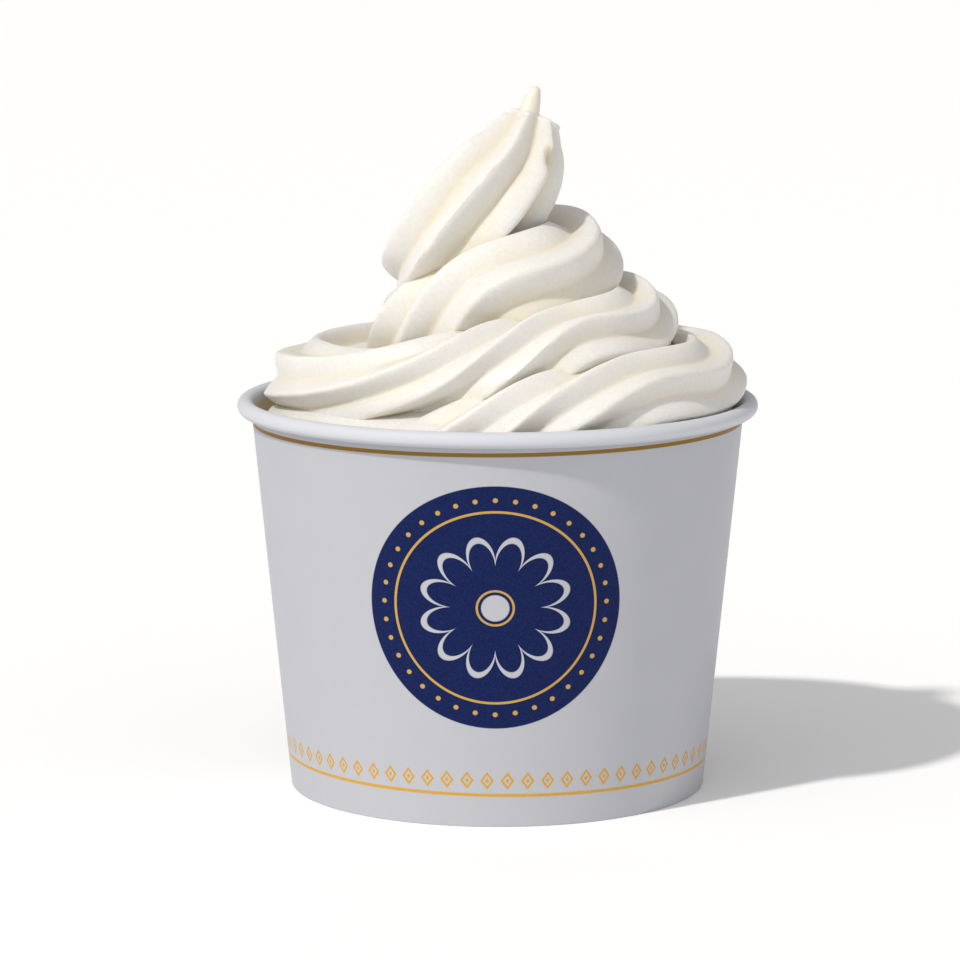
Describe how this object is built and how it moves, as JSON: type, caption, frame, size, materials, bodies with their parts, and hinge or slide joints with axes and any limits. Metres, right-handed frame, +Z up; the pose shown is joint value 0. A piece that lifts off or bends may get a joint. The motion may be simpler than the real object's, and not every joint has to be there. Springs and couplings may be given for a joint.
{
  "type": "frozen yogurt cup",
  "caption": "White paper food cup with a rolled rim and recessed base, filled with a tall fluted swirl of plain frozen yogurt that ends in a leaning peak.",
  "frame": {"origin": "centre of the cup's foot, on the surface it stands on", "axes": "+Z up along the cup's axis, -Y to the front of the print, +X to the right, the side the peak leans to"},
  "size_m": [0.1, 0.1, 0.135],
  "materials": {
    "paper": "smooth coated paper board, printed",
    "yogurt": "moist fine-grained soft serve"
  },
  "bodies": {
    "root": {"cup_wall": "paper", "cup_base": "paper", "frozen_yogurt": "yogurt"}
  },
  "joints": []
}
